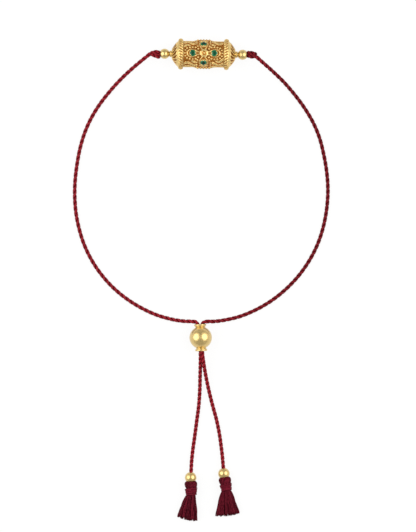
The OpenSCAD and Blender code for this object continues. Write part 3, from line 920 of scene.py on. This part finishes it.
class BRACELET_OT_wirework(bpy.types.Operator):
    """Solders the wires, grains, ropes and rosettes on the barrel"""
    bl_idname = "bracelet.wirework"
    bl_label = "Wirework"

    def execute(self, context):
        settings = context.scene.bracelet
        barrel, stones = settings.barrel, settings.stones
        wires, grains, rosettes, ropes = new_piece(), new_piece(), new_piece(), new_piece()
        for quarters in (0, 2):
            lay_side_petal(wires, grains, barrel, stones, quarters)
            lay_upper_petal(wires, grains, barrel, stones, quarters + 1)
        for x, start, end in BARS:
            lay_wire(wires, barrel, in_metres([(x, start), (x, end)]), barrel.wire_diameter * BAR_WIRE)
        set_grains(grains, barrel, in_metres(BAR_GRAINS), 1.1)
        for wave in WAVES:
            lay_waves(wires, barrel, *wave)
        add_rosette(rosettes, barrel)
        for piece in (wires, grains, rosettes):
            repeat_behind(piece)
        edge_x = RIM_X - mm(0.7)
        edge_v = (barrel.tube_diameter / 2 + barrel.belly_height) * math.pi / 2
        for side in (-1, 1):
            edge = [(-edge_x, side * edge_v), (edge_x, side * edge_v)]
            lay_wire(wires, barrel, edge, barrel.wire_diameter)
            add_rope(ropes, barrel, side)
        # Painted shade at the feet of the wires, grains and rope strands
        paint_shade_at_feet(wires, lambda x: ground_radius(barrel, x), mm(0.28))
        paint_shade_at_feet(grains, lambda x: ground_radius(barrel, x), mm(0.5))
        paint_shade_at_feet(ropes, rope_floor, 2.2 * ROPE_HALF_HEIGHT)
        plate = gold_material(settings.gold, satin=True)
        pieces = (("barrel_wires", wires), ("barrel_grains", grains), ("barrel_rosettes", rosettes),
                  ("barrel_ropes", ropes))
        for name, piece in pieces:
            piece.transform(BARREL_PLACE)
            keep_piece(piece, name, plate, ["barrel"])
        return {"FINISHED"}


# The stones and their seats

# Claws of a seat: their angle from the line to the rosette in degrees, and their radius in millimetres
CLAWS = ((0, 0.32), (146, 0.25), (-146, 0.25))

# Outline of a seat's collar: out from the stone's girdle, and height over its place, in millimetres
COLLAR = ((0.18, -0.5), (0.15, 0.1), (0.1, 0.19), (0.05, 0.2), (0.01, 0.14), (0.01, -0.5))


def stone_places(stones):
    """Every stone's node name, its side of the barrel, and its place along and round it."""
    side_x, top_v = stones.side_place, stones.top_place
    return (
        ("front_left", Matrix(), -side_x, 0), ("front_right", Matrix(), side_x, 0),
        ("front_top", Matrix(), 0, top_v), ("front_bottom", Matrix(), 0, -top_v),
        ("back_left", BEHIND, -side_x, 0), ("back_right", BEHIND, side_x, 0),
        ("back_top", BEHIND, 0, -top_v), ("back_bottom", BEHIND, 0, top_v))


def cut_stone(radius, table_painted_light):
    """Round cut: a table, eight star and eight main crown facets, a girdle and a pointed back.
    Each ring of corners has a count, a share of the radius, a height in millimetres, a turn and a tone, which
    is painted light: a painted reflection on the crown, painted shade on the table and the back."""
    rings = (
        (8, 0.52, 0.52, 0.0, table_painted_light), (8, 0.76, 0.42, 0.5, 1.2), (16, 1.0, 0.26, 0.0, 0.7),
        (16, 1.0, 0.16, 0.0, 0.3), (8, 0.3, -0.3, 0.5, 0.3))
    gem = new_piece()
    tones = gem.verts.layers.float["tone"]
    for count, share, height, shift, tone in rings:
        for i in range(count):
            angle = 2 * math.pi * (i + shift) / count
            out = radius * share
            vert = gem.verts.new((out * math.cos(angle), out * math.sin(angle), mm(height)))
            vert[tones] = tone
    hull = bmesh.ops.convex_hull(gem, input=gem.verts[:])
    bmesh.ops.delete(gem, geom=hull["geom_interior"], context="VERTS")
    bmesh.ops.dissolve_limit(gem, angle_limit=math.radians(1), verts=gem.verts[:], edges=gem.edges[:])
    return gem


class BRACELET_OT_stones(bpy.types.Operator):
    """Cuts the eight stones and sets them in clawed collars"""
    bl_idname = "bracelet.stones"
    bl_label = "Stones"

    def execute(self, context):
        settings = context.scene.bracelet
        barrel, stones = settings.barrel, settings.stones
        green = stone_material(stones)
        radius = stones.diameter / 2
        collar = [(radius + r, h) for r, h in in_metres(COLLAR)]
        seats = new_piece()
        for name, flip, x, v in stone_places(stones):
            # The upper and lower stones get a darker painted table than the side stones
            table_painted_light, claw_share = (0.2, 1) if v else (0.42, 0.8)
            place = flip @ at_ground(barrel, x, v, stones.lift)
            gem = cut_stone(radius, table_painted_light)
            gem.transform(BARREL_PLACE @ place)
            keep_piece(gem, "cut_stone_" + name, green, ["stone_" + name], math.radians(2))
            add_part(seats, lathe(collar, 32), place)
            inwards = math.atan2(-v, -x)
            for angle, claw_radius in CLAWS:
                size = mm(claw_radius * claw_share)
                claw = (
                    place @ Matrix.Rotation(inwards + math.radians(angle), 4, "Z")
                    @ Matrix.Translation((radius - mm(0.02), 0, mm(0.3)))
                    @ Matrix.Diagonal((size, size, mm(0.22), 1)))
                bmesh.ops.create_icosphere(seats, subdivisions=2, radius=1, matrix=claw)
        seats.transform(BARREL_PLACE)
        keep_piece(seats, "barrel_seats", gold_material(settings.gold, satin=True), ["barrel"])
        return {"FINISHED"}


# The beads

def ball_outline(radius, hole):
    """Outline (radius, height) of a drilled ball, with a small round edge at each hole."""
    edge = mm(0.06)
    steps = 44
    first = math.asin((hole / 2 + edge) / radius)
    angles = [first + (math.pi - 2 * first) * i / steps for i in range(steps + 1)]
    arc_points = [(radius * math.sin(a), radius * math.cos(a)) for a in angles]
    top = arc_points[0][1]
    inside = [(hole / 2 + edge * 0.3, edge * 0.35), (hole / 2, edge * 1.1)]
    return (
        [(r, top - h) for r, h in reversed(inside)] + arc_points
        + [(r, h - top) for r, h in inside])


def turn_bead(node, radius, hole, place, material):
    """Turns a small drilled bead at its place."""
    ball = lathe(ball_outline(radius, hole), 64)
    ball.transform(place)
    keep_piece(ball, "drilled_" + node, material, [node])


class BRACELET_OT_beads(bpy.types.Operator):
    """Turns the four small drilled beads"""
    bl_idname = "bracelet.beads"
    bl_label = "Beads"

    def execute(self, context):
        settings = context.scene.bracelet
        polished = gold_material(settings.gold)
        hole = settings.beads.hole
        for side in SIDES:
            node = "bead_" + side.name
            place = at_node(node, BARREL_TURN) @ ALONG_X
            turn_bead(node, node_size(node).z / 2, hole, place, polished)
        for side in SIDES:
            node = "tail_bead_" + side.name
            place = at_node(node, math.radians(side.bead_turn)) @ ALONG_Y
            turn_bead(node, node_size(node).x / 2, hole, place, polished)
        return {"FINISHED"}


# Outline of the sliding bead's flared collar: out from the edge of the hole, and in from the bead's end,
# in millimetres
FLARE = (
    (0, 1.2), (0, 0.12), (0.05, 0.03), (0.14, 0), (0.48, 0.02), (0.58, 0.07), (0.63, 0.16), (0.64, 0.3),
    (0.61, 0.45), (0.52, 0.6), (0.41, 0.74))


class BRACELET_OT_slide(bpy.types.Operator):
    """Turns the sliding bead with its two flared collars"""
    bl_idname = "bracelet.slide"
    bl_label = "Sliding bead"

    def execute(self, context):
        settings = context.scene.bracelet
        turn = math.radians(2.4)
        radius = node_size("slide_bead").x / 2
        end = settings.beads.slide_length / 2
        bore = settings.beads.slide_hole / 2
        neck = mm(1.55)
        steps = 30
        first = math.asin((neck + mm(0.1)) / radius)
        ball = [first + (math.pi / 2 - first) * i / steps for i in range(steps + 1)]
        collar = [(bore + r, end - h) for r, h in in_metres(FLARE)]
        collar += [(neck + mm(0.03), end - mm(0.88)), (neck, end - mm(0.98))]
        half = collar + [(radius * math.sin(a), radius * math.cos(a)) for a in ball]
        slide = lathe(half + [(r, -h) for r, h in reversed(half[:-1])], 96)
        slide.transform(at_node("slide_bead", turn) @ ALONG_Y)
        keep_piece(slide, "collared_slide_bead", gold_material(settings.gold), ["slide_bead"])
        return {"FINISHED"}


# The cords and knots

def lay_cord(bm, path, ups, diameter, lay_at, tone=1.0):
    """Two plies laid round each other to the right. lay_at(i) is the length of a whole turn there."""
    reach = diameter * 0.265
    radial = diameter * 0.297
    tangential = diameter * 0.435
    turns = [0.0]
    for i in range(1, len(path)):
        turns.append(turns[-1] + 2 * math.pi * (path[i] - path[i - 1]).length / lay_at(i))
    for ply in (0, 1):
        def section(i, angle, ply=ply):
            phase = turns[i] + ply * math.pi
            out = reach + radial * math.cos(angle)
            across = tangential * math.sin(angle)
            return (
                out * math.sin(phase) + across * math.cos(phase),
                out * math.cos(phase) - across * math.sin(phase))
        sweep(bm, path, ups, section, 12, tone=tone)


def painted_loop_shade(count, darkest_shaded_tone):
    """Tones of the points of a loop from its knot to the slide, as painted shade: darkest in between, paler
    at both ends.
    """
    pale_at_knot, knot_share = 0.75, 0.07
    pale_at_slide, slide_share = 0.5, 0.35
    tones = []
    for i in range(count):
        share = i / (count - 1)
        after_knot = 1 - pale_at_knot * (1 - clamp(share / knot_share))
        before_slide = 1 - pale_at_slide * (1 - clamp((1 - share) / slide_share))
        tones.append(1 - (1 - darkest_shaded_tone) * min(after_knot, before_slide))
    return tones


def knot_path(half_sizes, flare):
    """Overhand knot pulled tight round the X axis, three lobes round, wider towards the bead."""
    count = 84
    widest = 2.75
    points = []
    for i in range(count):
        t = 2 * math.pi * i / count
        along = -math.sin(3 * t)
        wedge = (1 + flare * along) / widest
        points.append(Vector((
            half_sizes.x * along,
            half_sizes.y * wedge * (math.sin(t) + 2 * math.sin(2 * t)),
            half_sizes.z * wedge * (math.cos(t) - 2 * math.cos(2 * t)))))
    return points


class BRACELET_OT_knots(bpy.types.Operator):
    """Ties the knots that hold the barrel and its beads"""
    bl_idname = "bracelet.knots"
    bl_label = "Knots"

    def execute(self, context):
        cord = context.scene.bracelet.cord
        # The knots' cord is a darker copy of the cord's colours: painted shade in the tight knots
        dark = cord_material("knotted_rayon_cord", shaded(cord.light, 0.62), shaded(cord.dark, 0.5))
        thick = cord.diameter * 0.9
        to_bead = mm(0.12)
        for side in SIDES:
            node = "knot_" + side.name
            middle = node_middle(node)
            half_sizes = (node_size(node) - Vector((thick - mm(0.3), thick, thick))) / 2
            middle.x += math.copysign(to_bead, node_middle("barrel").x - middle.x)
            place = Matrix.Translation(middle) @ Matrix.Rotation(BARREL_TURN, 4, "Z")
            path = [place @ p for p in knot_path(half_sizes, side.knot_flare)]
            path.append(path[0])
            ups = [(p - middle).normalized() for p in path]
            knot = new_piece()
            lay_cord(knot, path, ups, thick, lambda i: cord.tail_lay, side.knot_tone)
            keep_piece(knot, "tied_" + node, dark, [node])
        return {"FINISHED"}


class BRACELET_OT_cords(bpy.types.Operator):
    """Lays the cords round the loop, through the sliding bead and down to the tassels"""
    bl_idname = "bracelet.cords"
    bl_label = "Cords"

    def execute(self, context):
        cord = context.scene.bracelet.cord
        crimson = cord_material("twisted_rayon_cord", cord.light, cord.dark)
        up = Vector((0, 0, 1))
        step = mm(0.22)
        lift = up * mm(0.02)
        slide_y = node_middle("slide_bead").y
        for side in SIDES:
            bead = node_middle("tail_bead_" + side.name)
            turn = math.radians(side.bead_turn)
            way = Vector((math.sin(turn), -math.cos(turn), 0))
            ends = [bead - way * CORD_TO_BEAD, bead + way * CORD_PAST_BEAD]
            path = [p + lift for p in smooth_path([Vector(p) for p in side.route] + ends, step)]
            in_loop = sum(p.y > slide_y for p in path)
            # Painted shade darkens the loop between its knot and the slide
            tones = painted_loop_shade(in_loop, side.loop_tone) + [1.0] * (len(path) - in_loop)
            piece = new_piece()
            lay_cord(piece, path, [up] * len(path), cord.diameter,
                     lambda i: cord.tail_lay if path[i].y < slide_y else cord.loop_lay, tones)
            twisted = keep_piece(
                piece, "twisted_cord_" + side.name, crimson, ["cord_" + side.name])
        half = node_size("cord_inner").x / 2
        axis = (BARREL_PLACE.to_3x3() @ Vector((1, 0, 0))).normalized()
        middle = node_middle("cord_inner")
        count = 110
        path = [middle + axis * half * (2 * i / (count - 1) - 1) for i in range(count)]
        core = new_piece()
        lay_cord(core, path, [up] * count, cord.diameter, lambda i: cord.loop_lay)
        keep_piece(core, "twisted_cord_inside", crimson, ["cord_inner"])
        return {"FINISHED"}


# The tassels, each made along the Y axis from the middle of its bead

HEAD_TOP = mm(-1.15)
HEAD_LENGTH = mm(2.2)
BAND_LENGTH = mm(2)
SKIRT_LENGTH = mm(7.7)
BAND_RADIUS = mm(1.6)

# Height of a tassel's head and band over their width
FLATNESS = 0.9

# Course of a thread folded over the head, out from the tassel's axis and along it, and the outline of the
# core under these threads, out from the axis and down it, in millimetres
FOLD = (
    (0.5, -1.3), (0.95, -1.28), (1.4, -1.36), (1.6, -1.6), (1.65, -2.0), (1.6, -2.45), (1.5, -2.85),
    (1.36, -3.15), (1.24, -3.4), (1.15, -3.75))
CORE_OUTLINE = (
    (0.0001, 1.35), (0.9, 1.35), (1.35, 1.55), (1.5, 2.0), (1.5, 2.6), (1.3, 3.2), (1.25, 5.3),
    (0.0001, 5.3))


def add_head(bm, rng):
    """Threads folded over the top of the tassel in slanting creases, with a soft core under them."""
    thread = mm(0.24)
    folds = 21
    slant = 0.13
    spacing = mm(0.15)
    for k in range(folds):
        start = 2 * math.pi * k / folds
        swell = rng.uniform(0.94, 1.02)
        course = []
        for i, (out, along) in enumerate(in_metres(FOLD)):
            angle = start + slant * i
            course.append((
                out * swell * 1.03 * math.cos(angle), along, out * FLATNESS * math.sin(angle)))
        path = smooth_path(course, spacing)
        ups = carried_ups(path, Vector((0, 1, 0)))
        sweep(bm, path, ups, oval_section(thread * 1.3, thread, len(path), 2), 7, tone=rng.uniform(0.0, 0.7))
    # The core keeps a tone of 0, near the darkest thread: painted shade between the folds
    add_part(bm, lathe(in_metres(CORE_OUTLINE), 28), ALONG_Y)


def add_band(bm, rng):
    """Thread wound round the neck of the tassel, narrower and narrower towards the foot."""
    winds = 6
    count = 36
    thread = mm(0.21)
    start = HEAD_TOP - HEAD_LENGTH - mm(0.12)
    travel = BAND_LENGTH - mm(0.3)
    proud, narrowing = 0.38, 0.055
    for k in range(winds):
        along = start - travel * k / (winds - 1)
        tilt = mm(rng.uniform(-0.2, 0.2))
        radius = BAND_RADIUS - thread + mm(proud - narrowing * k + rng.uniform(-0.07, 0.03))
        points = []
        for i in range(count):
            angle = 2 * math.pi * i / count
            points.append(Vector((
                radius * math.cos(angle), along + tilt * math.cos(angle + k),
                radius * FLATNESS * math.sin(angle))))
        ups = [Vector((p.x, 0, p.z)).normalized() for p in points]
        section = oval_section(thread * 1.1, thread, count)
        sweep(bm, points, ups, section, 8, closed=True, tone=rng.uniform(0.5, 1.0))


def add_threads(bm, tassels, rng, reach, slope):
    """Loose threads from the neck to the foot, gathered into locks, lying on the surface."""
    bead_height = node_middle("tail_bead_left").z
    neck = HEAD_TOP - HEAD_LENGTH - BAND_LENGTH + mm(0.25)
    foot = HEAD_TOP - HEAD_LENGTH - BAND_LENGTH - SKIRT_LENGTH + mm(0.3)
    neck_radius = mm(1.2)
    radius = tassels.thread_diameter / 2
    lowest = radius + mm(0.05) - bead_height
    left, right = mm(reach[0]), mm(reach[1])
    half_across = (right - left) / 2 - radius
    middle_across = (right + left) / 2
    half_up = mm(1.5)
    locks = 26
    fill = 0.93
    lock_difference, lock_wave = mm(0.36), 2.4
    middle_tone, lock_tone = 0.45, 0.08
    golden_turn = math.pi * (3 - math.sqrt(5))
    count = 13
    for k in range(tassels.threads):
        lock = k % locks
        share, lock_angle = fill * math.sqrt((lock + 0.5) / locks), golden_turn * lock
        across = share * math.cos(lock_angle) + rng.uniform(-0.1, 0.1)
        up = share * math.sin(lock_angle) + rng.uniform(-0.16, 0.16)
        far = max(1, math.hypot(across, up))
        across, up = across / far, up / far
        neck_out = neck_radius * math.hypot(across, up) ** 0.6
        neck_angle = math.atan2(up, across)
        at_neck = Vector((neck_out * math.cos(neck_angle), neck, neck_out * math.sin(neck_angle)))
        lock_foot = foot + lock_difference * math.sin(lock_wave * lock)
        at_foot = Vector((
            middle_across + half_across * across, lock_foot + mm(rng.uniform(-0.15, 0.2)),
            lowest + half_up * (1 + up)))
        at_foot.y -= slope * (at_foot.x - middle_across)
        wave, phase, sway = rng.uniform(9, 13), rng.uniform(0, 6.3), mm(rng.uniform(0.04, 0.13))
        path = []
        for i in range(count):
            t = i / (count - 1)
            point = at_neck.lerp(at_foot, t)
            spread = t ** 0.72
            free = sway * math.sin(math.pi * min(t, 0.8) * 0.62)
            point.x = at_neck.x + (at_foot.x - at_neck.x) * spread + free * math.sin(wave * t + phase)
            point.z = at_neck.z + (at_foot.z - at_neck.z) * spread + free * math.cos(wave * t + 2 * phase)
            point.z = max(point.z, lowest)
            path.append(point)
        ups = carried_ups(path, Vector((0, 0, 1)))
        tone = middle_tone + lock_tone * math.sin(1.9 * lock) + rng.uniform(-0.3, 0.3)
        sweep(bm, path, ups, oval_section(radius, radius, count, 1), 5, tone=clamp(tone))


class BRACELET_OT_tassels(bpy.types.Operator):
    """Folds, binds and spreads the two tassels"""
    bl_idname = "bracelet.tassels"
    bl_label = "Tassels"

    def execute(self, context):
        tassels = context.scene.bracelet.tassels
        rayon = thread_material(tassels)
        rng = random.Random(21)
        for side in SIDES:
            place = at_node("tail_bead_" + side.name, math.radians(side.tassel_turn))
            head, band, threads = new_piece(), new_piece(), new_piece()
            add_head(head, rng)
            add_band(band, rng)
            add_threads(threads, tassels, rng, side.foot_reach, side.foot_slope)
            for name, piece in (("head", head), ("band", band), ("threads", threads)):
                piece.transform(place)
                keep_piece(
                    piece, "tassel_" + name + "_" + side.name, rayon, ["tassel_" + side.name])
        return {"FINISHED"}


# The stage

SENSOR_MM = 36
FLOOR_HALF_SIZE = 3

# The softboxes and their places in metres from the middle of the loop
SOFTBOX_DIAMETER = 0.72
SOFTBOXES = (("left_softbox", (-0.46, 0.04, 0.4)), ("right_softbox", (0.41, 0.05, 0.45)))

# The pale studio's grey from the horizon, 0, to straight overhead, 1
STUDIO = ((0.0, [0.6] * 3), (1.0, [0.15] * 3), (0.8, [0.5] * 3), (0.97, [0.4] * 3))


def add_softbox(name, stage, place):
    """A round, soft area light at a place, facing the bracelet."""
    lamp = bpy.data.lights.new(name, "AREA")
    lamp.shape = "DISK"
    lamp.size = SOFTBOX_DIAMETER
    lamp.energy = stage.key_power
    light = new_object(name, lamp)
    light.location = place
    light.rotation_euler = (-Vector(place)).to_track_quat("-Z", "Y").to_euler()


def add_camera(stage):
    """A camera that looks straight down from so far that the bracelet's height hardly shows."""
    camera = bpy.data.cameras.new("camera")
    camera.sensor_width = SENSOR_MM
    camera.lens = SENSOR_MM * stage.camera_distance / stage.view_height
    camera.clip_start, camera.clip_end = 0.01, 20
    viewer = new_object("camera", camera)
    viewer.location = (*stage.view_centre, stage.camera_distance)
    bpy.context.scene.camera = viewer


def add_studio():
    """Pale studio round the bracelet, which its gold and stones mirror."""
    world = bpy.data.worlds.new("pale_studio")
    world.use_nodes = True
    tree = world.node_tree
    tree.nodes.clear()
    direction = add_node(tree, "ShaderNodeTexCoord").outputs["Generated"]
    height = add_node(tree, "ShaderNodeSeparateXYZ", {"Vector": direction}).outputs["Z"]
    sky = add_node(tree, "ShaderNodeValToRGB", {"Fac": height}, stops=STUDIO)
    glow = add_node(tree, "ShaderNodeBackground", {"Color": sky.outputs["Color"], "Strength": 1.0})
    add_node(tree, "ShaderNodeOutputWorld", {"Surface": glow.outputs["Background"]})
    bpy.context.scene.world = world


class BRACELET_OT_stage(bpy.types.Operator):
    """Sets up the white floor, the two softboxes, the pale studio and the camera"""
    bl_idname = "bracelet.stage"
    bl_label = "Stage"

    def execute(self, context):
        stage = context.scene.bracelet.stage
        add_camera(stage)
        sheet = new_piece()
        bmesh.ops.create_grid(sheet, x_segments=1, y_segments=1, size=FLOOR_HALF_SIZE)
        floor = mesh_object(sheet, "white_floor", panel_material(stage))
        for name, place in SOFTBOXES:
            add_softbox(name, stage, place)
        add_studio()
        context.scene.view_settings.view_transform = "Standard"
        return {"FINISHED"}


OPERATORS = (
    BRACELET_OT_stage, BRACELET_OT_barrel, BRACELET_OT_wirework, BRACELET_OT_stones, BRACELET_OT_beads,
    BRACELET_OT_slide, BRACELET_OT_knots, BRACELET_OT_tassels, BRACELET_OT_cords)


class BRACELET_PT_panel(bpy.types.Panel):
    """Lists the bracelet's pieces and their settings"""
    bl_label = "Cord bracelet"
    bl_space_type = "VIEW_3D"
    bl_region_type = "UI"
    bl_category = "Bracelet"

    def draw(self, context):
        settings = context.scene.bracelet
        for group in BraceletSettings.__annotations__:
            box = self.layout.box()
            box.label(text=group.capitalize())
            values = getattr(settings, group)
            for name in values.__annotations__:
                box.prop(values, name)
        for operator in OPERATORS:
            self.layout.operator(operator.bl_idname)


CLASSES = (
    StageSettings, GoldSettings, BarrelSettings, StoneSettings, BeadSettings, CordSettings, TasselSettings,
    BraceletSettings, *OPERATORS, BRACELET_PT_panel)


def register():
    for cls in CLASSES:
        bpy.utils.register_class(cls)
    bpy.types.Scene.bracelet = PointerProperty(type=BraceletSettings)


def unregister():
    del bpy.types.Scene.bracelet
    for cls in reversed(CLASSES):
        bpy.utils.unregister_class(cls)


def main():
    """Makes every piece."""
    register()
    for operator in OPERATORS:
        group, name = operator.bl_idname.split(".")
        getattr(getattr(bpy.ops, group), name)()
    bpy.context.view_layer.update()


if __name__ == "__main__":
    main()
